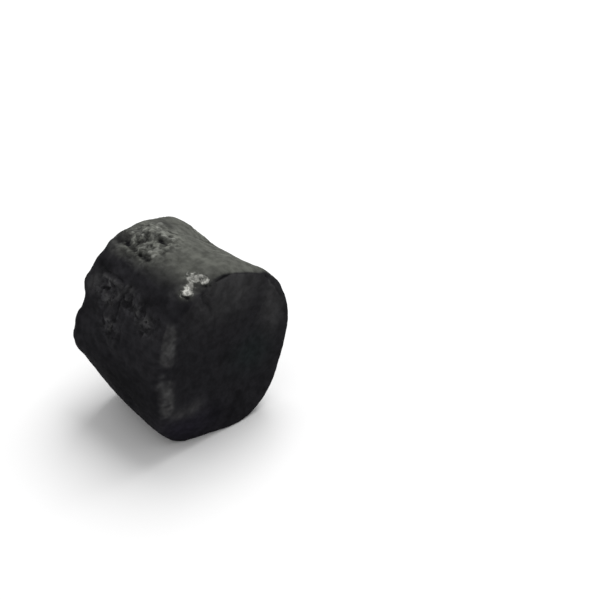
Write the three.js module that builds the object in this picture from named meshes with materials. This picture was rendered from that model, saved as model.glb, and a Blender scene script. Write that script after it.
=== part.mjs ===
// Lump of hardwood charcoal: a short length of branch, charred whole, lying on its side.
// Millimetres, +Z up. X runs along the grain: the sawn end faces +X and the broken end faces -X.
// The origin lies under the middle of the lump, on the surface that it rests on.
// A turn is an angle in degrees about the pith, from the top towards the side that faces -Y.

import * as THREE from 'three';
import { mergeVertices } from 'three/addons/utils/BufferGeometryUtils.js';
import { ImprovedNoise } from 'three/addons/math/ImprovedNoise.js';

// Driving dimensions.
const LENGTH = 55; // along the pith, from end to end
const PITH_HEIGHT = 40; // from the resting surface to the pith

// Distance from the pith to the bark, every 30 degrees of turn:
// at the broken end, half-way and at the sawn end.
const BARK_REACH = [
  { turn: 0, broken: 34.5, middle: 36.6, sawn: 37.2 },
  { turn: 30, broken: 34.7, middle: 35.5, sawn: 36.5 },
  { turn: 60, broken: 31, middle: 32, sawn: 32 },
  { turn: 90, broken: 33, middle: 32.5, sawn: 31.5 },
  { turn: 120, broken: 34, middle: 36, sawn: 35.5 },
  { turn: 150, broken: 36.5, middle: 42.5, sawn: 43 },
  { turn: 180, broken: 39, middle: 42, sawn: 42.5 },
  { turn: 210, broken: 37, middle: 40.5, sawn: 40.5 },
  { turn: 240, broken: 32.5, middle: 34, sawn: 35 },
  { turn: 270, broken: 32, middle: 33, sawn: 34.6 },
  { turn: 300, broken: 33, middle: 33, sawn: 36 },
  { turn: 330, broken: 36, middle: 34, sawn: 36.5 },
];

// Ends of the branch.
const SAWN_EDGE = 1.8; // round of the rim at the sawn end
const SAWN_DISH = 1.2; // how far the middle of the sawn end is hollowed
const BROKEN_EDGE = 4.5; // round of the shoulder at the broken end
const BROKEN_CROWN = 3; // how far the middle of the broken end stands out

// Flat breaks: the turn that each faces, how far it leans to the sawn end, and how deep it cuts.
const BREAKS = [
  { name: 'under the sawn end', turn: 140, lean: 66, depth: 6 },
  { name: 'worn rim on the -Y side', turn: 84, lean: 45, depth: 3.4 },
  { name: 'worn rim on the +Y side', turn: 305, lean: 58, depth: 2.4 },
  { name: 'flat on the upper sawn rim', turn: 334, lean: 22, depth: 3.2 },
  { name: 'flat beside the chip', turn: 2, lean: 32, depth: 2.4 },
  { name: 'worn corner of the sawn rim', turn: 36, lean: 48, depth: 4.2 },
  { name: 'shoulder of the broken end', turn: 330, lean: -62, depth: 4 },
  { name: 'worn shoulder beside the knot', turn: 22, lean: -46, depth: 1.8 },
  { name: 'face of the broken end', turn: 225, lean: -74, depth: 8 },
  { name: 'flat on the back', turn: 262, lean: -8, depth: 2.2 },
];

const BREAK_EDGE = 0.9; // softness of the edges of the breaks

// Round chips: where the middle of each lies, how far its ball lies outside the bark, and its size.
const CHIPS = [
  { name: 'chip in the sawn rim', turn: 15, along: 27, outside: 1.9, size: 6.5 },
  { name: 'small chip below it', turn: 23, along: 25, outside: 2, size: 4.2 },
  { name: 'chip on the end face', turn: 12, along: 30, outside: -8, size: 4.4 },
  { name: 'chip in the broken shoulder', turn: 68, along: -29, outside: 5, size: 8 },
  { name: 'flake off the back', turn: 290, along: -18, outside: 17, size: 20 },
];

// Marks on the bark side: where each lies, how far it spreads along and across the grain, and its rise.
const MARKS = [
  { name: 'knot mound', turn: 4, along: -9, length: 11, width: 11, rise: 2.3 },
  { name: 'trench beside the knot', turn: 16, along: -15, length: 5.5, width: 2.4, rise: -1.7 },
  { name: 'pit below the knot', turn: 19, along: -3, length: 3, width: 2.4, rise: -1.4 },
  { name: 'pit on the knot', turn: 4, along: -2, length: 2.6, width: 2.4, rise: -1.1 },
  { name: 'step behind the knot', turn: -30, along: -6, length: 5, width: 12, rise: -1.2 },
  { name: 'shoulder of the top', turn: 23, along: 6, length: 24, width: 5, rise: 0.9 },
  { name: 'pit near the sawn rim', turn: 51, along: 17, length: 2.6, width: 2.6, rise: -1.1 },
  { name: 'ridge near the sawn rim', turn: 52, along: 24, length: 2.6, width: 6, rise: 1.1 },
  { name: 'corner of the broken end', turn: 101, along: -22, length: 9, width: 7, rise: 1.6 },
  { name: 'nick in the belly', turn: 127, along: 6, length: 3, width: 6, rise: -1.4 },
  { name: 'knot bump on the back', turn: 232, along: 8, length: 8, width: 8, rise: 2.2 },
];

// Cracks across the grain in the thick bark: place along the grain, first and last turn.
const CROSS_CRACKS = [
  { along: 1.5, from: 36, to: 84, width: 1.6, depth: 1.3 },
  { along: -11, from: 40, to: 72, width: 1.6, depth: 1.2 },
  { along: 13, from: 44, to: 64, width: 1.6, depth: 0.8 },
  { along: -4, from: 205, to: 262, width: 1.7, depth: 1.5 },
];

const CRACK_SWAY = 3;

// Drying splits along the grain: turn, and first and last place along the grain.
const SPLITS = [
  { turn: 246, from: -34, to: 18, width: 1.3, depth: 4.5 },
  { turn: 318, from: -8, to: 22, width: 1.2, depth: 2.4 },
  { turn: 273, from: -20, to: 14, width: 1.2, depth: 2.8 },
  { turn: 222, from: -6, to: 24, width: 1.2, depth: 2.2 },
  { turn: 47, from: -17, to: -3, width: 1.4, depth: 1.8 },
];

// Thick bark on the side that faces -Y, left in lumps.
const BARK_PATCH = { turn: 64, along: 0, length: 25, width: 20, lump: 6, rise: 1.5 };
const KNOT_CRUST = { turn: 5, along: -9, length: 12, width: 12, lump: 5, rise: 1.6 };

// How far the grain wanders round the pith, in degrees, and over what length.
const GRAIN_WANDER = 5;
const GRAIN_WAVE = 26;

// Ribs along the grain, all round.
const RIB_PITCH = 6;
const RIB_LENGTH = 40;
const RIB_RISE = 0.5;

// Broken end: splinters, and a shelf broken away along a line across the end.
const SPLINTER = 10;
const SPLINTER_RISE = 2.6;
const SHELF_TURN = 205;
const SHELF_OFFSET = 6;
const SHELF_DEPTH = 4;
const SHELF_SLOPE = 5;
const SHELF_RAG = 5;

// Fineness of the surface.
const AROUND = 120; // facets round the pith
const SIDE_STEPS = 24; // facets along the bark side
const FACE_STEPS = 10; // rings on each end face
const EDGE_STEPS = 3; // facets across each rounded rim

const LUMP_COLOUR = 0x2b2b2c;
const LUMP_ROUGHNESS = 0.75;

const PITH = new THREE.Vector3(1, 0, 0);
const perlin = new ImprovedNoise();
const sawnX = LENGTH / 2;
const brokenX = -LENGTH / 2;
const plainReach = BARK_REACH[0].sawn;

// A bell that is 1 at nought and falls to about a third at one spread.
function bell(distance, spread) {
  return Math.exp(-((distance / spread) ** 2));
}

// The shorter way round from one turn to another, in degrees.
function turnBetween(from, to) {
  return THREE.MathUtils.euclideanModulo(to - from + 180, 360) - 180;
}

// Smooth noise in lumps of the given size, about -1 to 1.
function lumps(point, size) {
  return perlin.noise(point.x / size, point.y / size, point.z / size);
}

// The three reaches, run smoothly round the pith.
const reachRound = new THREE.CatmullRomCurve3(
  BARK_REACH.map((row) => new THREE.Vector3(row.broken, row.middle, row.sawn)),
  true,
  'catmullrom',
);

// Distance from the pith to the bark at a turn, for a place along the grain.
function barkReach(turn, along) {
  const reach = reachRound.getPoint(THREE.MathUtils.euclideanModulo(turn, 360) / 360);
  const t = THREE.MathUtils.clamp(along / sawnX, -1, 1);
  return (reach.x * t * (t - 1)) / 2 + reach.y * (1 - t * t) + (reach.z * t * (t + 1)) / 2;
}

// Half outline of a plain round log, from the middle of the broken end to the middle of the sawn end.
function logProfile() {
  const brokenFace = new THREE.QuadraticBezierCurve(
    new THREE.Vector2(0, brokenX - BROKEN_CROWN),
    new THREE.Vector2((plainReach - BROKEN_EDGE) / 2, brokenX - BROKEN_CROWN),
    new THREE.Vector2(plainReach - BROKEN_EDGE, brokenX),
  );
  const shoulder = new THREE.EllipseCurve(
    plainReach - BROKEN_EDGE, brokenX + BROKEN_EDGE, BROKEN_EDGE, BROKEN_EDGE, -Math.PI / 2, 0,
  );
  const side = new THREE.LineCurve(
    new THREE.Vector2(plainReach, brokenX + BROKEN_EDGE),
    new THREE.Vector2(plainReach, sawnX - SAWN_EDGE),
  );
  const rim = new THREE.EllipseCurve(
    plainReach - SAWN_EDGE, sawnX - SAWN_EDGE, SAWN_EDGE, SAWN_EDGE, 0, Math.PI / 2,
  );
  const sawnFace = new THREE.QuadraticBezierCurve(
    new THREE.Vector2(plainReach - SAWN_EDGE, sawnX),
    new THREE.Vector2(plainReach / 2, sawnX - SAWN_DISH),
    new THREE.Vector2(0, sawnX - SAWN_DISH),
  );
  return [
    ...brokenFace.getPoints(FACE_STEPS),
    ...shoulder.getPoints(EDGE_STEPS).slice(1),
    ...side.getPoints(SIDE_STEPS).slice(1),
    ...rim.getPoints(EDGE_STEPS).slice(1),
    ...sawnFace.getPoints(FACE_STEPS).slice(1),
  ];
}

// Plain log with its shared vertices merged, and the pith along X.
function roundLog() {
  const log = new THREE.LatheGeometry(logProfile(), AROUND);
  log.deleteAttribute('normal');
  log.deleteAttribute('uv');
  log.rotateZ(-Math.PI / 2);
  return mergeVertices(log, 1e-3);
}

// Turn of a point about the pith, in degrees.
function turnOf(point) {
  return THREE.MathUtils.radToDeg(Math.atan2(-point.y, point.z));
}

// Gives the log the section of the branch, with its columns run along the grain, and returns their turns.
function shapeBranch(log) {
  const place = log.getAttribute('position');
  const point = new THREE.Vector3();
  const grainTurns = [];
  for (let i = 0; i < place.count; i += 1) {
    point.fromBufferAttribute(place, i);
    const grainTurn = turnOf(point);
    const wander = GRAIN_WANDER * lumps(point, GRAIN_WAVE);
    const scale = barkReach(grainTurn + wander, point.x) / plainReach;
    point.applyAxisAngle(PITH, THREE.MathUtils.degToRad(wander));
    place.setXYZ(i, point.x, point.y * scale, point.z * scale);
    grainTurns.push(grainTurn);
  }
  return grainTurns;
}

// Direction straight out from the pith at a turn.
function outwards(turn) {
  const angle = THREE.MathUtils.degToRad(turn);
  return new THREE.Vector3(0, -Math.sin(angle), Math.cos(angle));
}

// Planes off everything that stands beyond a flat break.
function cutBreak(log, { turn, lean, depth }) {
  const angle = THREE.MathUtils.degToRad(lean);
  const facing = outwards(turn).multiplyScalar(Math.cos(angle));
  facing.x = Math.sin(angle);
  const place = log.getAttribute('position');
  const point = new THREE.Vector3();
  let farthest = -Infinity;
  for (let i = 0; i < place.count; i += 1) {
    farthest = Math.max(farthest, point.fromBufferAttribute(place, i).dot(facing));
  }
  for (let i = 0; i < place.count; i += 1) {
    point.fromBufferAttribute(place, i);
    const beyond = Math.max(point.dot(facing) - (farthest - depth), 0);
    const kept = BREAK_EDGE * (1 - Math.exp(-beyond / BREAK_EDGE));
    point.addScaledVector(facing, kept - beyond);
    place.setXYZ(i, point.x, point.y, point.z);
  }
}

// Presses everything inside a ball on to the far side of that ball.
function cutChip(log, { turn, along, outside, size }) {
  const ball = outwards(turn).multiplyScalar(barkReach(turn, along) + outside);
  ball.x = along;
  const place = log.getAttribute('position');
  const point = new THREE.Vector3();
  for (let i = 0; i < place.count; i += 1) {
    point.fromBufferAttribute(place, i).sub(ball);
    if (point.length() < size) point.setLength(size);
    point.add(ball);
    place.setXYZ(i, point.x, point.y, point.z);
  }
}

// How strongly a spot reaches to a point on the bark side, from 0 to 1.
function spotShare(spot, point) {
  const across = THREE.MathUtils.degToRad(turnBetween(spot.turn, turnOf(point))) * plainReach;
  return bell(point.x - spot.along, spot.length) * bell(across, spot.width);
}

// How much of a crack is open at a place between its two ends: full half-way, closed at the ends.
function openShare(value, from, to) {
  const fromMiddle = (value - (from + to) / 2) / ((to - from) / 2);
  return Math.sqrt(Math.max(1 - fromMiddle ** 2, 0));
}

// Relief of the bark side at a point, on the column of the given turn.
function barkRelief(point, grainTurn) {
  const turn = turnOf(point);
  let rise = RIB_RISE * perlin.noise(point.x / RIB_LENGTH, point.y / RIB_PITCH, point.z / RIB_PITCH);
  for (const mark of MARKS) rise += mark.rise * spotShare(mark, point);
  for (const patch of [BARK_PATCH, KNOT_CRUST]) {
    const chunks = lumps(point, patch.lump) + 0.5 * lumps(point, patch.lump / 2);
    rise += patch.rise * spotShare(patch, point) * chunks;
  }
  for (const crack of CROSS_CRACKS) {
    const sway = CRACK_SWAY * perlin.noise(turn / 14, crack.along, 0.5);
    const open = openShare(THREE.MathUtils.euclideanModulo(turn, 360), crack.from, crack.to);
    rise -= crack.depth * open * bell(point.x - crack.along - sway, crack.width);
  }
  for (const split of SPLITS) {
    const across = THREE.MathUtils.degToRad(turnBetween(split.turn, grainTurn)) * plainReach;
    rise -= split.depth * openShare(point.x, split.from, split.to) * bell(across, split.width);
  }
  return rise;
}

// Relief of the broken end at a point.
function brokenRelief(point) {
  const splinters = lumps(point, SPLINTER);
  const shelfTurn = THREE.MathUtils.degToRad(SHELF_TURN);
  const beyond = -point.y * Math.sin(shelfTurn) + point.z * Math.cos(shelfTurn) - SHELF_OFFSET;
  const ragged = beyond + SHELF_RAG * perlin.noise(point.y / SPLINTER, point.z / SPLINTER, 3.5);
  const shelf = THREE.MathUtils.smoothstep(ragged, -SHELF_SLOPE / 2, SHELF_SLOPE / 2);
  return SPLINTER_RISE * splinters - SHELF_DEPTH * shelf;
}

// Moves every vertex out along its normal by the relief of its side.
function carveRelief(log, grainTurns) {
  log.computeVertexNormals();
  const place = log.getAttribute('position');
  const normal = log.getAttribute('normal');
  const point = new THREE.Vector3();
  const out = new THREE.Vector3();
  for (let i = 0; i < place.count; i += 1) {
    point.fromBufferAttribute(place, i);
    out.fromBufferAttribute(normal, i);
    const onBroken = THREE.MathUtils.smoothstep(-out.x, 0.4, 0.9);
    const onSawn = THREE.MathUtils.smoothstep(out.x, 0.5, 0.95);
    const onBark = (1 - onBroken) * (1 - onSawn);
    const rise = barkRelief(point, grainTurns[i]) * onBark + brokenRelief(point) * onBroken;
    point.addScaledVector(out, rise);
    place.setXYZ(i, point.x, point.y, point.z);
  }
}

// Presses the base flat and puts the origin under the middle.
function restOnBase(log) {
  const place = log.getAttribute('position');
  for (let i = 0; i < place.count; i += 1) place.setZ(i, Math.max(place.getZ(i), -PITH_HEIGHT));
  log.computeBoundingBox();
  const middle = log.boundingBox.getCenter(new THREE.Vector3());
  log.translate(-middle.x, -middle.y, PITH_HEIGHT);
}

const log = roundLog();
const grainTurns = shapeBranch(log);
for (const flat of BREAKS) cutBreak(log, flat);
for (const chip of CHIPS) cutChip(log, chip);
carveRelief(log, grainTurns);
restOnBase(log);
log.computeVertexNormals();

const charcoal = new THREE.MeshStandardMaterial({
  color: LUMP_COLOUR,
  roughness: LUMP_ROUGHNESS,
  metalness: 0,
});
const lump = new THREE.Mesh(log, charcoal);
lump.name = 'charcoal_lump';

const part = new THREE.Group();
part.add(lump);

export default part;
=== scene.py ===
"""Lump of hardwood charcoal on a pale studio floor.

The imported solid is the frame. A finer copy of it stands for it here: the same form, with chunky bark, crust,
pits, cracks, grain, saw marks and splinters worked into its surface. Places are in millimetres in the row
frame: X runs along the grain, with the sawn end at +X, and Z is up. Blender gets everything in metres.
"""

import math

import bmesh
import bpy
import numpy as np
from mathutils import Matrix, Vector, noise


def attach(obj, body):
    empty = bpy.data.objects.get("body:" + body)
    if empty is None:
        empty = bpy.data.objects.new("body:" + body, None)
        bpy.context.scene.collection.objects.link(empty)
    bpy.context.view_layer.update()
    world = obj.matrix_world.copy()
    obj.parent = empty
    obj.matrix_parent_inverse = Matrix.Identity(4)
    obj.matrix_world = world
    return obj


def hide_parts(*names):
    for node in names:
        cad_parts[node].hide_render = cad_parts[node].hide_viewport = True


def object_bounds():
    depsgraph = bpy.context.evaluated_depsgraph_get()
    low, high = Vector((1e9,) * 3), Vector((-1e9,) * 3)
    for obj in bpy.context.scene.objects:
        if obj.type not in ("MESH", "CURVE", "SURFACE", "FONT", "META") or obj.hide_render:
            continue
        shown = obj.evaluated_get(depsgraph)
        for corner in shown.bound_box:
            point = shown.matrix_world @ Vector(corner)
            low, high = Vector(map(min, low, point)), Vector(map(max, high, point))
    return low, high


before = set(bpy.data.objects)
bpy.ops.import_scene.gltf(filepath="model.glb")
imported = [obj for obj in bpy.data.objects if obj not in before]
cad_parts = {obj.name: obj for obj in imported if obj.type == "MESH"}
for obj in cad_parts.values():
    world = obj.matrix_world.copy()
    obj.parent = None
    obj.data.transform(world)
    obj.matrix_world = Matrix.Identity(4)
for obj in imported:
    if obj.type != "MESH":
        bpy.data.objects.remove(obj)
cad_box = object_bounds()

bl_info = {
    "name": "Charcoal lump",
    "version": (1, 0, 0),
    "blender": (4, 5, 0),
    "location": "3D View > Sidebar > Charcoal",
    "description": "Gives a lump of hardwood charcoal its surface and sets it on a studio floor",
    "category": "Object",
}

NODE = "charcoal_lump"
BODY = "root"

# Metres in a millimetre.
MM = 0.001

# Middle of the lump, in metres.
LUMP_MIDDLE = Vector((0, 0, 40 * MM))

# Seed of the noise that makes edges ragged, so that every run gives the same lump.
NOISE_SEED = 5

# Spots on the lump: middle, and reach along X, Y and Z, in millimetres.
KNOT_CRUST = ((-8, -4.5, 76), (13, 10, 8))
KNOT_CRUMBS = (
    ((-14.1, 5.5, 75.9), (1.5, 1.6, 1.5)),
    ((-10.2, 2.1, 77), (1.6, 1.4, 1.5)),
    ((-0.1, 0.2, 78.2), (1.5, 1.4, 1.5)),
    ((-2.6, -0.9, 78.2), (1.2, 1.2, 1.2)),
    ((-12.9, -6, 76.8), (1.4, 1.3, 1.3)),
    ((-10.8, -5.4, 77), (1.0, 1.0, 1.0)),
    ((-6.7, -6.9, 76.8), (1.3, 1.2, 1.2)),
    ((-5.1, -9.1, 76.3), (1.4, 1.2, 1.2)),
    ((0.2, -7.3, 77), (1.5, 1.3, 1.3)),
    ((-0.6, -9.7, 76), (1.3, 1.1, 1.1)),
    ((1.9, -9.9, 75.7), (1.1, 1.1, 1.1)),
)
BROKEN_BARK = (
    ((-10, -24, 60), (8, 6, 7)),
    ((6, -24, 62), (7, 5, 5)),
    ((16, -26, 59), (7, 5, 5)),
    ((-3, -29, 50), (6, 5, 6)),
    ((-12, 24, 62), (9, 7, 8)),
    ((6, 31, 44), (10, 5, 9)),
    ((-14, 29, 24), (8, 6, 8)),
)
RIM_CHIP = ((25, -8.5, 74.5), (4, 5, 3.5))
CHIP_FLECKS = (
    ((24.0, -8.2, 75.4), (3.2, 3.6, 2.6)),
    ((26.0, -5.4, 75.6), (2.6, 2.8, 2.0)),
    ((24.6, -11.2, 73.9), (2.4, 2.4, 2.0)),
    ((25.6, -12.8, 72.8), (2.4, 2.8, 1.8)),
)
# Dust and painted light on the upper and right parts of the sawn end, and on two spots low on its left.
DUSTED_AND_LIT_FACE = (
    ((29, 6, 68), (6, 18, 12)),
    ((29, 26, 50), (6, 6, 12)),
    ((28.5, -22, 21), (4, 4, 3)),
    ((28.6, -15.5, 20), (4, 4.5, 3)),
)
# Painted shade: darker patches low on the near side of the bark, on a small slope turned from the light, and
# low on the sawn end.
PAINTED_SHADE_SPOTS = (
    ((6, -30, 27), (28, 12, 14)),
    ((-16.7, -20.8, 67.2), (4, 2.5, 2.5)),
    ((29, -5, 11), (4, 6, 6)),
)
BARE_SLOPES = (
    ((-20, -11.5, 73), (6, 6, 5)),
    ((-14, 8, 75.5), (5, 5, 4)),
)
# Painted shade, tinted violet, on the foot of the sawn end, which faces down.
VIOLET_SHADE_FOOT = ((27, -19, 10), (6, 13, 10))
TEAL_STAIN = ((28, 15, 32), (5, 9, 8))
# Painted highlights: small pale spots on facets of the bark and on the rim of the sawn end.
PAINTED_HIGHLIGHTS = (
    ((-3, -24.3, 61.5), (1.6, 1.6, 1.6)),
    ((9.7, -25.4, 61), (1.4, 1.4, 1.4)),
    ((16, -25.5, 60.3), (2.2, 2.2, 2.2)),
    ((-8, -24.9, 56.5), (3.5, 1.6, 2)),
    ((2.2, -21.8, 66.2), (1.4, 1.4, 1.4)),
    ((-18, -24, 60), (4, 3, 4)),
    ((29, -25.4, 50.4), (1.8, 1.6, 2.2)),
    ((28.6, -25.6, 47.4), (1.4, 1.4, 1.2)),
    ((27.6, -27.6, 42.4), (1.2, 1.2, 1.2)),
)

# Middle of the growth rings on Y and Z, and the width of a ring and the radial cracks on the broken end.
PITH = (0, 40)
RING_WIDTH = 4.4
RADIAL_CRACKS = 5

# Way that the ash fell and that the painted top light comes from: the bloom of ash and the painted light lie
# on what faces this way, up and a little to the back.
ASH_AND_LIGHT_SIDE = (-0.05, 0.35, 0.93)

# Pits: middle, width and depth, in millimetres.
PITS = (
    ((-12.4, 4.7, 76.0), 1.2, 0.45),
    ((16.0, -25.5, 60.3), 0.9, 0.8),
    ((21.9, -24.1, 63.9), 0.9, 0.5),
    ((28.1, -23.8, 64.9), 0.8, 0.5),
    ((8.8, -24.5, 62.8), 0.9, 0.6),
    ((12.5, -22.9, 65.9), 0.9, 0.6),
    ((3.0, 33.0, 47.0), 1.4, 0.8),
    ((-9.0, 25.0, 60.0), 1.3, 0.8),
)

# Points of the main crack down the bark, in millimetres.
MAIN_CRACK = (
    (1.9, -21.3, 66.9),
    (-0.5, -24.2, 62.4),
    (-0.6, -26.3, 59),
    (-0.4, -28.8, 53.7),
    (-0.5, -29.8, 50.5),
)

# Cracks and grooves: the points of each, its width and its depth, in millimetres.
CRACKS = (
    (MAIN_CRACK, 0.6, 0.7),
    (((-14, -22.8, 62.3), (-8.5, -23.4, 63.3), (-4.5, -23.5, 63.8)), 0.7, 0.6),
    (((-14.6, -21.3, 66.2), (-8.3, -21.2, 66.8), (-3.4, -21.2, 66.6)), 0.6, 0.55),
    (((28.4, -4.2, 73.4), (29, 0.9, 74.4), (29, 5.4, 74.6)), 0.6, 0.9),
    (((26.4, -8.2, 73.8), (27.4, -5.8, 74)), 0.9, 1.3),
    (((24.6, -14.9, 72.4), (27, -13.4, 71.4)), 0.8, 1.0),
    (((28.6, -8.2, 71), (28.6, -6, 66.5), (28.7, -4.5, 62.4)), 1.2, 0.5),
    (((25.5, -30.5, 45.2), (28.5, -26.5, 46)), 0.8, 0.4),
    (((28.6, 23, 65), (28.6, 27, 59.5), (28.8, 30, 52.5)), 0.6, 0.5),
    (((-20.7, -10.6, 73.5), (-14, -10.3, 73.6), (-7.8, -11.9, 75.1)), 1.5, 0.8),
    (((-5.4, -12.8, 75.1), (-2.6, -12.2, 74.7), (1.2, -12.2, 74.6)), 1.3, 0.7),
    (((-3.8, -12.6, 75), (-1.4, -12.4, 74.7)), 1.0, 1.1),
    (((-2.6, -3.4, 77.8), (0.6, -3, 78)), 1.3, 0.7),
    (((-10.4, -8.6, 76), (-8.4, -6.6, 76.4)), 1.2, 0.65),
)

# Dust and painted highlights where the sawn rim is worn and on the lips of its cracks: points and width, in
# millimetres.
PALE_STREAKS = (
    (((28.9, -24.6, 61.5), (28.9, -25, 55.5), (28.9, -25.6, 50)), 3.6),
    (((28.4, -27.8, 36.5), (28.6, -27.8, 32), (28.6, -27.2, 25)), 3.6),
)
PALE_LIPS = (
    (((28.4, -5, 70.5), (29, -1, 72.4), (29.1, 4.8, 73.4)), 1.6),
    (((28.4, 23, 63.6), (28.6, 27, 57.6), (29, 30.2, 50)), 0.8),
    (((28.8, -11, 68.6), (28.6, -8.5, 64.5)), 1.3),
)

# Ridges of bark, raised and painted lighter along them as highlights: the points of each, and its width, in
# millimetres.
BARK_RIDGES = (
    (((-14.3, -22.4, 64.4), (-8.3, -22.5, 64.8), (-2.7, -22.3, 64.9)), 0.9),
    (((-1.9, -24, 62.8), (0.6, -22, 66.2)), 0.8),
)


def length_setting(name, description, millimetres):
    """A length that a user may change."""
    return bpy.props.FloatProperty(
        name=name, description=description, default=millimetres * MM, precision=5, unit="LENGTH"
    )


def colour_setting(name, description, colour):
    """A colour that a user may change."""
    return bpy.props.FloatVectorProperty(
        name=name, description=description, default=(*colour, 1), subtype="COLOR", size=4, min=0, max=1
    )


class LumpSettings(bpy.types.PropertyGroup):
    """Sizes and colours of the lump's surface."""

    mesh_size: length_setting("Mesh size", "Width of the quads that the fine surface is made of", 0.52)
    chunk_height: length_setting("Bark chunks", "How unevenly the chunks of broken bark stand out", 0.8)
    lump_height: length_setting("Bark lumps", "Height of the soft lumps of the whole bark side", 0.18)
    check_depth: length_setting("Checks", "Depth of the fine drying cracks all round", 0.22)
    grain_height: length_setting("Grain", "Height of the fine ridges along the grain", 0.07)
    splinter_height: length_setting("Splinters", "How unevenly the fibres of the broken end stand out", 0.9)
    saw_height: length_setting("Saw marks", "Height of the saw marks on the sawn end", 0.06)
    char_colour: colour_setting("Char", "Colour of the bare char", (0.0176, 0.0172, 0.0194))
    # Soot and painted shade: the colour of random sootier patches, of the painted shade spots and of the
    # painted shade on the sawn end.
    soot_and_shade_colour: colour_setting("Soot", "Colour of the sootier char", (0.0062, 0.0061, 0.0070))
    # Painted shade: the cool violet colour laid on the downward-facing foot of the sawn end.
    violet_shade_colour: colour_setting(
        "Violet", "Colour of the cool char at the foot of the sawn end", (0.0138, 0.0126, 0.0182)
    )
    teal_colour: colour_setting("Teal", "Colour of the stain on the sawn end", (0.0128, 0.0158, 0.0164))
    # Painted shade: the colour laid deep in pits, cracks, creases and splits, and between chunks.
    painted_hollow_shade_colour: colour_setting("Hollows", "Colour deep in pits and cracks", (0.0046, 0.0045, 0.0051))
    # Ash bloom and painted top light: the colour laid on what faces up and a little to the back.
    ash_and_top_light_colour: colour_setting("Ash bloom", "Colour of the thin bloom of ash on top", (0.106, 0.109, 0.096))
    # Dust and painted light: the colour of the worn rim, ridges, lips, highlight spots and raised bark.
    dust_and_light_colour: colour_setting("Dust", "Colour of the thin dust on worn edges", (0.054, 0.0535, 0.054))
    crumb_colour: colour_setting(
        "Crumbs", "Colour of the pale crumbs of the knot's crust", (0.170, 0.173, 0.158)
    )
    fleck_colour: colour_setting(
        "Flecks", "Colour of the pale flecks of ash on the chipped rim", (0.36, 0.36, 0.335)
    )


class StageSettings(bpy.types.PropertyGroup):
    """Floor, light and camera."""

    floor_colour: colour_setting("Floor", "Colour of the floor", (0.92, 0.92, 0.92))
    floor_size: length_setting("Floor size", "Length of each side of the floor", 6000)
    sky_strength: bpy.props.FloatProperty(
        name="Room light", description="Strength of the even light all round", default=0.62
    )
    lamp_power: bpy.props.FloatProperty(
        name="Lamp power", description="Power of the large soft lamp overhead", default=23.0, unit="POWER"
    )
    azimuth: bpy.props.FloatProperty(
        name="Azimuth",
        description="Direction of the camera round the lump, from the front",
        default=math.radians(54),
        unit="ROTATION",
    )
    elevation: bpy.props.FloatProperty(
        name="Elevation",
        description="Height of the camera above the horizon, as an angle",
        default=math.radians(37),
        unit="ROTATION",
    )
    lens: bpy.props.FloatProperty(
        name="Lens", description="Focal length of the camera, in millimetres", default=85.0
    )
    pixel: length_setting("Pixel size", "Length at the lump that one pixel of the picture covers", 0.40)


def smooth_step(values, low, high):
    """0 below low, 1 above high, and a smooth rise between them."""
    share = np.clip((values - low) / (high - low), 0, 1)
    return share * share * (3 - 2 * share)


def nearness(points, spot):
    """1 at the middle of a spot, falling smoothly to nought around it."""
    middle, reach = spot
    away = (points - np.array(middle)) / np.array(reach)
    return np.exp(-(away**2).sum(axis=1))


def near_any(points, spots):
    """Nearness to whichever of several spots is nearest."""
    return np.max([nearness(points, spot) for spot in spots], axis=0)


def from_line(points, line):
    """Distance of each point from a line through several places."""
    nearest = np.full(len(points), np.inf)
    for start, end in zip(line[:-1], line[1:]):
        start = np.array(start)
        run = np.array(end) - start
        share = np.clip((points - start) @ run / (run @ run), 0, 1)
        nearest = np.minimum(nearest, np.linalg.norm(points - start - share[:, None] * run, axis=1))
    return nearest


def near_lines(points, streaks):
    """1 on whichever of several lines is nearest, falling to nought at its width."""
    return np.max([np.exp(-((from_line(points, line) / width) ** 2)) for line, width in streaks], axis=0)


def noise_at(points, lump):
    """Smooth noise from -1 to 1, in lumps of the given length along each axis."""
    return np.array([noise.noise(place) for place in (points / lump).tolist()])


def crumbs_at(points, lump, octaves):
    """Sharp-creased noise from 0 up, in lumps of the given length along each axis."""
    return np.array([noise.turbulence(place, octaves, True) for place in (points / lump).tolist()])


def ragged_at(points, lump, reach):
    """Points moved about by smooth noise, so that what is drawn at them comes out ragged."""
    shifts = np.array([tuple(noise.noise_vector(place)) for place in (points / lump).tolist()])
    return points + reach * shifts


def gaps_at(points, block):
    """Splits space into blocks, and gives how far each point lies from the gap between two of them."""
    gaps = []
    for place in (points / block).tolist():
        distances, _ = noise.voronoi(place)
        gaps.append(distances[1] - distances[0])
    return np.array(gaps)


def facets_at(points, block):
    """Height at each point of blocks that fill space, each with a height and a tilt of its own."""
    heights = []
    for place in (points / block).tolist():
        _, middles = noise.voronoi(place)
        middle = middles[0]
        tilt = noise.cell_vector(middle)
        across = sum((tilt[axis] - 0.5) * (place[axis] - middle[axis]) for axis in range(3))
        heights.append(0.5 * noise.cell(middle) + 1.2 * across)
    return np.array(heights)


def read_points(mesh):
    """Vertex places of a mesh, in millimetres."""
    flat = np.empty(len(mesh.vertices) * 3)
    mesh.vertices.foreach_get("co", flat)
    return flat.reshape(-1, 3) / MM


def read_normals(mesh):
    """Vertex normals of a mesh."""
    flat = np.empty(len(mesh.vertices) * 3)
    mesh.vertex_normals.foreach_get("vector", flat)
    return flat.reshape(-1, 3)


def write_points(mesh, points):
    """Moves a mesh's vertices to places in millimetres."""
    mesh.vertices.foreach_set("co", (points * MM).ravel())
    mesh.update()


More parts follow.
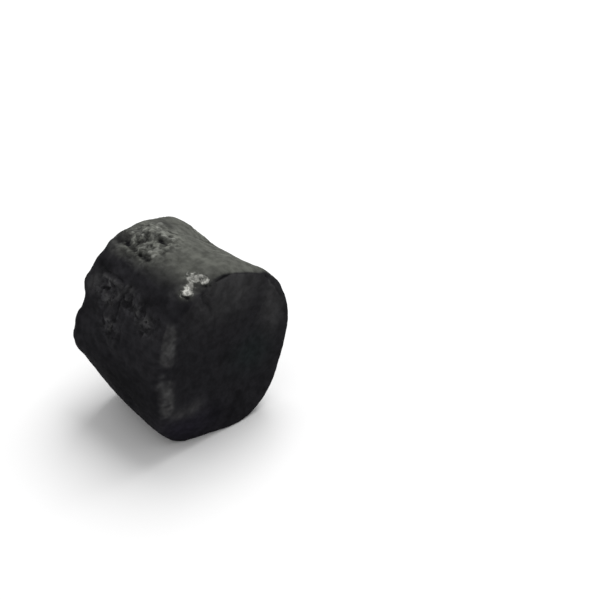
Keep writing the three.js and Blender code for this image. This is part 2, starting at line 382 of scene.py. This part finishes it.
def relaxed(mesh, values, passes):
    """Values of the vertices after each has moved half-way to the mean of its neighbours, several times."""
    ends = np.empty(len(mesh.edges) * 2, dtype=np.int64)
    mesh.edges.foreach_get("vertices", ends)
    first, second = ends.reshape(-1, 2).T
    count = np.bincount(ends, minlength=len(values))
    columns = values.reshape(len(values), -1).T.copy()
    for _ in range(passes):
        for column in columns:
            total = np.bincount(first, column[second], len(count))
            total += np.bincount(second, column[first], len(count))
            column += 0.5 * (total / count - column)
    return columns.T.reshape(values.shape)


def add_attribute(mesh, name, values):
    """Stores a value for each vertex, for the material to read."""
    layer = mesh.attributes.new(name, "FLOAT", "POINT")
    layer.data.foreach_set("value", np.asarray(values, dtype=np.float32))


def fine_copy(node, mesh_size):
    """Copy of the CAD solid as one even net of small quads, with its facets smoothed away."""
    merge_distance = 0.001 * MM
    smooth_passes = 4
    piece_mesh = bpy.data.meshes.new("lump_faceted")
    solid = bmesh.new()
    solid.from_mesh(node.data)
    bmesh.ops.remove_doubles(solid, verts=solid.verts, dist=merge_distance)
    solid.to_mesh(piece_mesh)
    solid.free()
    piece = bpy.data.objects.new("lump_of_charcoal", piece_mesh)
    bpy.context.scene.collection.objects.link(piece)
    net = piece.modifiers.new("Even net", "REMESH")
    net.mode = "VOXEL"
    net.voxel_size = mesh_size
    depsgraph = bpy.context.evaluated_depsgraph_get()
    even_mesh = bpy.data.meshes.new_from_object(piece.evaluated_get(depsgraph))
    piece.modifiers.clear()
    piece.data = even_mesh
    bpy.data.meshes.remove(piece_mesh)
    surface = bmesh.new()
    surface.from_mesh(even_mesh)
    for _ in range(smooth_passes):
        bmesh.ops.smooth_vert(
            surface, verts=surface.verts, factor=0.5, use_axis_x=True, use_axis_y=True, use_axis_z=True
        )
    for face in surface.faces:
        face.smooth = True
    surface.to_mesh(even_mesh)
    surface.free()
    return piece


def chunks_at(points):
    """Height of each chunk of broken bark and crust, about -1 to 1, and nought where the bark is whole."""
    crust_share = 1.4
    chunk_block = np.array((2.8, 2.1, 2.1))
    rough = np.maximum(near_any(points, BROKEN_BARK), crust_share * nearness(points, KNOT_CRUST))
    ragged = ragged_at(points, 3.0, 0.8)
    crumbs = crumbs_at(ragged, 2.6, 3) - 0.7
    return rough * (facets_at(ragged, chunk_block) + 0.5 * crumbs)


def bark_relief(points, chunks, settings):
    """Relief of the bark side: chunks of bark and crust, soft lumps, checks and grain."""
    check_block = np.array((9, 6, 6))
    check_width = 0.09
    grain_lump = np.array((16, 1.7, 1.7))
    relief = settings.chunk_height * chunks
    relief += settings.lump_height * (noise_at(points, 5.5) + 0.5 * noise_at(points, 2.4))
    open_share = smooth_step(noise_at(points, 9), 0.05, 0.45)
    gap = 1 - smooth_step(gaps_at(ragged_at(points, 6.0, 1.6), check_block), 0.0, check_width)
    relief -= settings.check_depth * open_share * gap
    relief += settings.grain_height * noise_at(points, grain_lump)
    return relief


def sawn_relief(points, settings):
    """Relief of the sawn end: slow waves and faint saw marks."""
    across_marks = np.array((0, 0.75, 0.4))
    along_marks = 0.03
    marked = np.column_stack((points @ across_marks, along_marks * points[:, 1], along_marks * points[:, 2]))
    return settings.saw_height * (2.5 * noise_at(points, 10) + noise_at(marked, 1) + noise_at(points, 2.2))


def broken_relief(points, settings):
    """Relief of the broken end: growth rings broken at different lengths, torn fibres and radial cracks."""
    bundle = np.array((14, 4.2, 3.2))
    fibre = np.array((9, 1.4, 0.9))
    set_back = 0.9
    ragged = ragged_at(points, 5.0, 1.3)
    across = ragged[:, 1:] - np.array(PITH)
    radius = np.linalg.norm(across, axis=1)
    turn = np.arctan2(across[:, 0], across[:, 1])
    ring = np.floor(radius / RING_WIDTH)
    lean = radius / RING_WIDTH - ring
    steps = noise_at(np.column_stack((0.77 * ring, 1.6 * np.cos(turn), 1.6 * np.sin(turn))), 1)
    torn = facets_at(ragged, bundle) + 0.35 * noise_at(ragged, fibre)
    rays = np.abs(np.sin(RADIAL_CRACKS / 2 * turn)) * radius
    cracks = (1 - smooth_step(rays, 0.3, 1.8)) * smooth_step(radius, 3, 9) * (1 - smooth_step(radius, 20, 28))
    return settings.splinter_height * (0.9 * steps + 0.4 * (0.5 - lean) + torn - cracks - set_back)


def crumbled(points):
    """Points moved about a little, so that small spots and lines drawn at them come out ragged."""
    return ragged_at(points, 1.6, 0.5)


def hole_depth(ragged):
    """Depth of the pits and of the cracks, in millimetres."""
    holes = np.zeros(len(ragged))
    for middle, width, depth in PITS:
        holes = np.maximum(holes, depth * nearness(ragged, (middle, (width, width, width))))
    for line, width, depth in CRACKS:
        holes = np.maximum(holes, depth * near_lines(ragged, ((line, width),)))
    return holes


def work_surface(mesh, settings):
    """Works the relief into the mesh and stores what the material reads."""
    chip_height = 0.9 * MM
    chip_block = np.array((1.7, 1.7, 1.7))
    ridge_height = 0.6 * MM
    points = read_points(mesh)
    facing = read_normals(mesh)
    sawn = smooth_step(facing[:, 0], 0.7, 0.95)
    broken = smooth_step(-facing[:, 0], 0.45, 0.85)
    bark_side = (1 - sawn) * (1 - broken)
    chunks = bark_side * chunks_at(points)
    relief = bark_side * bark_relief(points, chunks, settings)
    relief += sawn * sawn_relief(points, settings)
    relief += broken * broken_relief(points, settings)
    relief += chip_height * nearness(points, RIM_CHIP) * facets_at(points, chip_block)
    ragged = crumbled(points)
    relief += ridge_height * np.maximum(near_any(ragged, KNOT_CRUMBS), near_lines(ragged, BARK_RIDGES))
    holes = hole_depth(ragged)
    outwards = relief / MM - holes
    worked = relaxed(mesh, points + facing * outwards[:, None], 1)
    worked[:, 2] = np.clip(worked[:, 2], 0, cad_box[1][2] / MM)
    write_points(mesh, worked)
    store_shades(mesh, facing, chunks, holes)


def painted_shade_in_hollows(points, sunk, split, chunks, holes):
    """Painted shade: how black each vertex is painted for lying deep, where shade falls: in creases, splits,
    pits and cracks, and between chunks.
    """
    crust = nearness(points, KNOT_CRUST)
    lightened = (1 - 0.7 * nearness(points, RIM_CHIP)) * (1 - 0.6 * crust)
    lightened *= 1 - 0.5 * near_any(points, BROKEN_BARK)
    creases = lightened * np.maximum(0.85 * smooth_step(sunk, 0.05, 0.45), 0.9 * split)
    between_chunks = 0.5 * (1 - crust) * smooth_step(-chunks, 0.1, 0.5)
    bored = 0.8 * smooth_step(holes, 0.25, 0.8)
    return np.max((creases, between_chunks, bored), axis=0)


def lying_share(points, facing, normals, broad_facing):
    """How squarely the broad form of the lump faces the way that the ash fell and the painted top light comes
    from.
    """
    outwards = np.column_stack((np.zeros(len(points)), points[:, 1:] - np.array(PITH)))
    outwards /= np.linalg.norm(outwards, axis=1)[:, None]
    on_bark = 1 - smooth_step(np.abs(facing[:, 0]), 0.4, 0.8)
    form = broad_facing + 0.6 * on_bark[:, None] * (outwards - broad_facing)
    return (0.85 * form + 0.15 * normals) @ np.array(ASH_AND_LIGHT_SIDE)


def ash_and_painted_top_light(points, ragged, lying, split, chunks, blotch):
    """Bloom of ash with painted top light on what faces up: none in splits, little on bare slopes, uneven on
    the knot's crust.
    """
    crust = nearness(points, KNOT_CRUST)
    lying = lying + 0.8 * crust * (0.97 - lying)
    ash_and_top_light = smooth_step(lying + 0.05 * blotch, 0.52, 0.99)
    ash_and_top_light *= 0.84 + 0.14 * noise_at(points, 6) + 0.06 * noise_at(points, 2)
    ash_and_top_light *= 1 + crust * np.clip(chunks, -0.45, 0.3)
    ash_and_top_light *= (1 - 0.6 * near_any(points, BARE_SLOPES)) * (1 - split)
    return np.maximum(np.clip(ash_and_top_light, 0, 1), 0.95 * near_any(ragged, CHIP_FLECKS))


def dust_and_light_shade(points, ragged, facing, raised, chunks, ash_and_top_light, blotch):
    """Dust and painted light: dust and painted highlights on the worn rim, ridges and lips, painted highlight
    spots, dust and painted light on parts of the sawn end, and painted light on raised bark.
    """
    worn = smooth_step(facing[:, 0], 0.55, 0.72)
    sawn = smooth_step(facing[:, 0], 0.8, 0.95)
    patchy = smooth_step(noise_at(points, 2.6) + 0.6 * noise_at(points, 1.3), -0.6, 0.5)
    streaks = (0.38 + 0.62 * patchy) * worn * smooth_step(near_lines(ragged, PALE_STREAKS), 0.10, 0.90)
    lips = 0.52 * near_lines(ragged, PALE_LIPS + BARK_RIDGES)
    sawn_end = 0.58 * sawn * near_any(points, DUSTED_AND_LIT_FACE)
    spots = 0.62 * near_any(ragged, PAINTED_HIGHLIGHTS)
    pale_marks = np.max((streaks, lips, sawn_end, spots), axis=0)
    # Painted light on the broken bark, on raised places and on the high chunks.
    painted_light_on_bark = 0.19 * near_any(points, BROKEN_BARK) + 0.13 * raised + 0.94 * smooth_step(chunks, 0.15, 0.7)
    return np.clip(pale_marks * (0.9 + 0.35 * blotch) + painted_light_on_bark * (1 - ash_and_top_light), 0, 1)


def crumb_shade(points, chunks, speckle):
    """Pale crumbs on the high chunks of the knot's crust, and the largest ones, each in its own place."""
    crust = np.minimum(1.3 * nearness(points, KNOT_CRUST), 1)
    high_chunks = crust * smooth_step(0.3 * speckle + chunks, 0.05, 0.65)
    return np.maximum(high_chunks, smooth_step(near_any(crumbled(points), KNOT_CRUMBS), 0.25, 0.8))


def rough_shade(points, ragged):
    """Where the surface breaks into small facets: broken bark, the knot's crust and the chipped rim."""
    crust = np.minimum(1.5 * nearness(points, KNOT_CRUST), 1)
    chip = 0.9 * near_any(points, CHIP_FLECKS)
    return np.max((near_any(ragged, BROKEN_BARK), crust, chip), axis=0)


def store_shades(mesh, facing, chunks, holes):
    """Stores the shades of each vertex that the material reads."""
    crease_passes = 14
    split_passes = 46
    form_passes = 150
    points = read_points(mesh)
    normals = read_normals(mesh)
    smoothed = relaxed(mesh, points, crease_passes)
    sunk = ((smoothed - points) * normals).sum(axis=1)
    raised = smooth_step(-sunk, 0.04, 0.30)
    broad_facing = relaxed(mesh, facing, form_passes)
    sunk_far = ((relaxed(mesh, smoothed, split_passes) - points) * broad_facing).sum(axis=1)
    split = smooth_step(sunk_far, 0.3, 0.9)
    ragged = ragged_at(points, 2.5, 1.0)
    blotch = noise_at(points, 7) + 0.5 * noise_at(points, 3)
    speckle = noise_at(points, 1.7) + 0.6 * noise_at(points, 0.8)
    lying = lying_share(points, facing, normals, broad_facing)
    # Ash bloom and painted top light on what faces up.
    ash_and_top_light = ash_and_painted_top_light(points, ragged, lying, split, chunks, blotch)
    # Painted shade over the whole sawn end, which faces away from the lamp.
    painted_face_shade = 0.42 * smooth_step(facing[:, 0], 0.8, 0.95)
    shades = {
        "ash_and_top_light": ash_and_top_light,
        "dust_and_light": dust_and_light_shade(points, ragged, facing, raised, chunks, ash_and_top_light, blotch),
        "crumb": crumb_shade(points, chunks, speckle),
        "fleck": smooth_step(near_any(ragged, CHIP_FLECKS) + 0.2 * speckle, 0.05, 0.85),
        "soot_and_shade": np.maximum(near_any(points, PAINTED_SHADE_SPOTS), painted_face_shade),
        "violet_shade": nearness(points, VIOLET_SHADE_FOOT),
        "teal": nearness(points, TEAL_STAIN),
        # Painted shade in hollows, lighter where the ash and painted top light lie.
        "painted_hollow_shade": painted_shade_in_hollows(points, sunk, split, chunks, holes) * (1 - 0.45 * ash_and_top_light),
        "raised": raised,
        "rough": rough_shade(points, ragged),
    }
    for name, values in shades.items():
        add_attribute(mesh, name, values)


class Nodes:
    """Short ways to place and join the nodes of one material."""

    def __init__(self, material):
        self.tree = material.node_tree

    def add(self, kind, **values):
        node = self.tree.nodes.new(kind)
        for name, value in values.items():
            setattr(node, name, value)
        return node

    def feed(self, socket, value):
        if isinstance(value, bpy.types.NodeSocket):
            self.tree.links.new(value, socket)
        else:
            socket.default_value = value

    def attribute(self, name):
        return self.add("ShaderNodeAttribute", attribute_name=name).outputs["Fac"]

    def math(self, operation, *values):
        node = self.add("ShaderNodeMath", operation=operation)
        for socket, value in zip(node.inputs, values):
            self.feed(socket, value)
        return node.outputs["Value"]

    def mix(self, share, first, second):
        node = self.add("ShaderNodeMix", data_type="RGBA")
        self.feed(node.inputs["Factor"], share)
        self.feed(node.inputs[6], first)
        self.feed(node.inputs[7], second)
        return node.outputs[2]

    def shade(self, colour, factor):
        node = self.add("ShaderNodeVectorMath", operation="SCALE")
        self.feed(node.inputs[0], colour)
        self.feed(node.inputs["Scale"], factor)
        return node.outputs["Vector"]

    def noise(self, place, scale, detail):
        node = self.add("ShaderNodeTexNoise")
        self.feed(node.inputs["Vector"], place)
        self.feed(node.inputs["Scale"], scale)
        self.feed(node.inputs["Detail"], detail)
        return node.outputs["Fac"]

    def ragged(self, place, scale, reach):
        node = self.add("ShaderNodeTexNoise")
        self.feed(node.inputs["Vector"], place)
        self.feed(node.inputs["Scale"], scale)
        moved = self.add("ShaderNodeVectorMath", operation="MULTIPLY_ADD")
        self.feed(moved.inputs[0], node.outputs["Color"])
        self.feed(moved.inputs[1], (reach, reach, reach))
        self.feed(moved.inputs[2], place)
        return moved.outputs["Vector"]

    def cells(self, place, scale):
        node = self.add("ShaderNodeTexVoronoi")
        self.feed(node.inputs["Vector"], place)
        self.feed(node.inputs["Scale"], scale)
        return node.outputs["Distance"], node.outputs["Color"]

    def spread(self, value, low, high, start=0.0, end=1.0):
        node = self.add("ShaderNodeMapRange", interpolation_type="SMOOTHSTEP")
        for name, number in (
            ("Value", value), ("From Min", low), ("From Max", high), ("To Min", start), ("To Max", end)
        ):
            self.feed(node.inputs[name], number)
        return node.outputs["Result"]


def charred_wood(settings):
    """Black char with a bloom of ash and painted top light, dust and painted highlights on edges, painted
    light on raised bark, pale crumbs and flecks, painted shade in hollows, on the sawn end and at its foot,
    painted light and shade on facets, and a dull sheen.
    """
    material = bpy.data.materials.new("charred_wood")
    material.use_nodes = True
    nodes = Nodes(material)
    shader = material.node_tree.nodes["Principled BSDF"]
    place = nodes.add("ShaderNodeTexCoord").outputs["Object"]
    stretch = nodes.add("ShaderNodeMapping")
    nodes.feed(stretch.inputs["Vector"], place)
    nodes.feed(stretch.inputs["Scale"], (0.12, 1, 1))
    # Noise and facets are scaled in lumps to the metre.
    broad = nodes.noise(place, 70, 2)
    mottle = nodes.noise(place, 330, 4)
    fine = nodes.noise(place, 1100, 4)
    grain = nodes.noise(stretch.outputs["Vector"], 900, 3)
    # Random sootier patches, and painted shade.
    soot_and_shade = nodes.math("MAXIMUM", nodes.spread(broad, 0.45, 0.70, 0, 0.7), nodes.attribute("soot_and_shade"))
    flecked = nodes.attribute("fleck")
    speckle = nodes.math("MULTIPLY_ADD", flecked, 0.46, nodes.noise(place, 800, 3))
    fleck = nodes.math("MULTIPLY", nodes.spread(speckle, 0.70, 1.00), nodes.spread(flecked, 0.0, 0.3))
    colour = nodes.mix(soot_and_shade, settings.char_colour, settings.soot_and_shade_colour)
    # Painted shade, tinted violet, at the foot of the sawn end.
    colour = nodes.mix(nodes.attribute("violet_shade"), colour, settings.violet_shade_colour)
    colour = nodes.mix(nodes.attribute("teal"), colour, settings.teal_colour)
    # Dust and painted light on edges, ridges, spots and raised bark.
    colour = nodes.mix(nodes.attribute("dust_and_light"), colour, settings.dust_and_light_colour)
    # Ash bloom and painted top light on what faces up.
    colour = nodes.mix(nodes.attribute("ash_and_top_light"), colour, settings.ash_and_top_light_colour)
    colour = nodes.mix(nodes.attribute("crumb"), colour, settings.crumb_colour)
    colour = nodes.mix(fleck, colour, settings.fleck_colour)
    colour = nodes.shade(colour, nodes.spread(mottle, 0.25, 0.75, 0.72, 1.28))
    colour = nodes.shade(colour, nodes.spread(grain, 0.25, 0.75, 0.95, 1.05))
    rough_bark = nodes.attribute("rough")
    torn = nodes.ragged(nodes.ragged(place, 600, 1.2 * MM), 1900, 0.7 * MM)
    dip, facet = nodes.cells(torn, 560)
    # Painted light and shade on facets: each small facet of the rough bark, crust and chip is made lighter or
    # darker at random.
    painted_facet_light = nodes.spread(facet, 0.2, 0.8, -0.35, 0.75)
    colour = nodes.shade(colour, nodes.math("MULTIPLY_ADD", rough_bark, painted_facet_light, 1.0))
    # Painted shade in pits, cracks, creases and splits, and between chunks.
    colour = nodes.mix(nodes.attribute("painted_hollow_shade"), colour, settings.painted_hollow_shade_colour)
    nodes.feed(shader.inputs["Base Color"], colour)
    rough = nodes.math("MULTIPLY_ADD", nodes.attribute("raised"), -0.2, 0.78)
    nodes.feed(shader.inputs["Roughness"], rough)
    shader.inputs["Specular IOR Level"].default_value = 0.015
    height = nodes.math("MULTIPLY_ADD", grain, 0.25, fine)
    sunk = nodes.math("MULTIPLY", rough_bark, nodes.math("MULTIPLY", dip, -4.0))
    height = nodes.math("ADD", height, sunk)
    bump = nodes.add("ShaderNodeBump")
    nodes.feed(bump.inputs["Strength"], 0.45)
    nodes.feed(bump.inputs["Distance"], 0.22 * MM)
    nodes.feed(bump.inputs["Height"], height)
    nodes.feed(shader.inputs["Normal"], bump.outputs["Normal"])
    return material


class CHARCOAL_OT_lump(bpy.types.Operator):
    """Make the lump's fine surface and its finish."""

    bl_idname = "charcoal.lump"
    bl_label = "Lump of charcoal"

    def execute(self, context):
        settings = context.scene.charcoal_lump
        noise.seed_set(NOISE_SEED)
        piece = fine_copy(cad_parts[NODE], settings.mesh_size)
        work_surface(piece.data, settings)
        piece.data.materials.clear()
        piece.data.materials.append(charred_wood(settings))
        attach(piece, BODY)
        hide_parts(NODE)
        return {"FINISHED"}


def pale_floor(settings):
    """Plain matt floor."""
    material = bpy.data.materials.new("pale_floor")
    material.use_nodes = True
    shader = material.node_tree.nodes["Principled BSDF"]
    shader.inputs["Base Color"].default_value = settings.floor_colour
    shader.inputs["Roughness"].default_value = 0.9
    shader.inputs["Specular IOR Level"].default_value = 0.1
    return material


def make_floor(settings):
    """Large flat floor under the lump."""
    mesh = bpy.data.meshes.new("floor")
    sheet = bmesh.new()
    bmesh.ops.create_grid(sheet, x_segments=1, y_segments=1, size=settings.floor_size / 2)
    sheet.to_mesh(mesh)
    sheet.free()
    floor = bpy.data.objects.new("floor", mesh)
    floor.data.materials.append(pale_floor(settings))
    bpy.context.scene.collection.objects.link(floor)


def make_lamp(settings):
    """Large soft lamp overhead, behind the lump and to the right of the picture."""
    side = 1.2
    place = Vector((-0.20, 0.72, 1.60))
    light = bpy.data.lights.new("softbox", "AREA")
    light.shape = "RECTANGLE"
    light.size = side
    light.size_y = side
    light.energy = settings.lamp_power
    lamp = bpy.data.objects.new("softbox", light)
    lamp.location = place
    aim = LUMP_MIDDLE - place
    lamp.rotation_mode = "QUATERNION"
    lamp.rotation_quaternion = aim.to_track_quat("-Z", "Y")
    bpy.context.scene.collection.objects.link(lamp)


def make_sky(settings):
    """Even pale light from all round."""
    world = bpy.data.worlds.new("studio")
    world.use_nodes = True
    background = world.node_tree.nodes["Background"]
    background.inputs["Color"].default_value = (1, 1, 1, 1)
    background.inputs["Strength"].default_value = settings.sky_strength
    bpy.context.scene.world = world


def make_camera(settings):
    """Camera at the photograph's angle, turned without roll to put the lump where the photograph has it."""
    picture = 600
    sensor = 36.0
    lump_pixel = Vector((176.0, 318.5))
    pixels_per_lens = settings.lens / sensor * picture
    right = (lump_pixel.x - picture / 2) / pixels_per_lens
    up = (picture / 2 - lump_pixel.y) / pixels_per_lens
    level = math.cos(settings.elevation)
    back_x = math.sin(settings.azimuth) * level
    back_y = -math.cos(settings.azimuth) * level
    back = Vector((back_x, back_y, math.sin(settings.elevation)))
    ray = math.sqrt(1 + right**2 + up**2)
    tilt = math.asin(back.z * ray / math.sqrt(1 + up**2)) + math.atan(up)
    aside = math.atan2(right, math.cos(tilt) + up * math.sin(tilt))
    heading = settings.azimuth + aside
    data = bpy.data.cameras.new("camera")
    data.lens = settings.lens
    data.sensor_width = sensor
    data.clip_start = 0.01
    data.clip_end = 20
    camera = bpy.data.objects.new("camera", data)
    camera.location = LUMP_MIDDLE + back * pixels_per_lens * settings.pixel
    camera.rotation_euler = (math.pi / 2 - tilt, 0, heading)
    bpy.context.scene.collection.objects.link(camera)
    bpy.context.scene.camera = camera


class CHARCOAL_OT_stage(bpy.types.Operator):
    """Set the floor, the light and the camera."""

    bl_idname = "charcoal.stage"
    bl_label = "Stage"

    def execute(self, context):
        settings = context.scene.charcoal_stage
        make_floor(settings)
        make_lamp(settings)
        make_sky(settings)
        make_camera(settings)
        context.scene.view_settings.view_transform = "Standard"
        return {"FINISHED"}


class CHARCOAL_PT_panel(bpy.types.Panel):
    """Lists the operators and their settings."""

    bl_idname = "CHARCOAL_PT_panel"
    bl_label = "Charcoal"
    bl_space_type = "VIEW_3D"
    bl_region_type = "UI"
    bl_category = "Charcoal"

    def draw(self, context):
        for operator, settings in (
            (CHARCOAL_OT_lump, context.scene.charcoal_lump),
            (CHARCOAL_OT_stage, context.scene.charcoal_stage),
        ):
            column = self.layout.column()
            for name in settings.__annotations__:
                column.prop(settings, name)
            column.operator(operator.bl_idname)


CLASSES = (LumpSettings, StageSettings, CHARCOAL_OT_lump, CHARCOAL_OT_stage, CHARCOAL_PT_panel)


def register():
    for cls in CLASSES:
        bpy.utils.register_class(cls)
    bpy.types.Scene.charcoal_lump = bpy.props.PointerProperty(type=LumpSettings)
    bpy.types.Scene.charcoal_stage = bpy.props.PointerProperty(type=StageSettings)


def unregister():
    del bpy.types.Scene.charcoal_stage
    del bpy.types.Scene.charcoal_lump
    for cls in reversed(CLASSES):
        bpy.utils.unregister_class(cls)


def main():
    register()
    bpy.ops.charcoal.lump()
    bpy.ops.charcoal.stage()


if __name__ == "__main__":
    main()
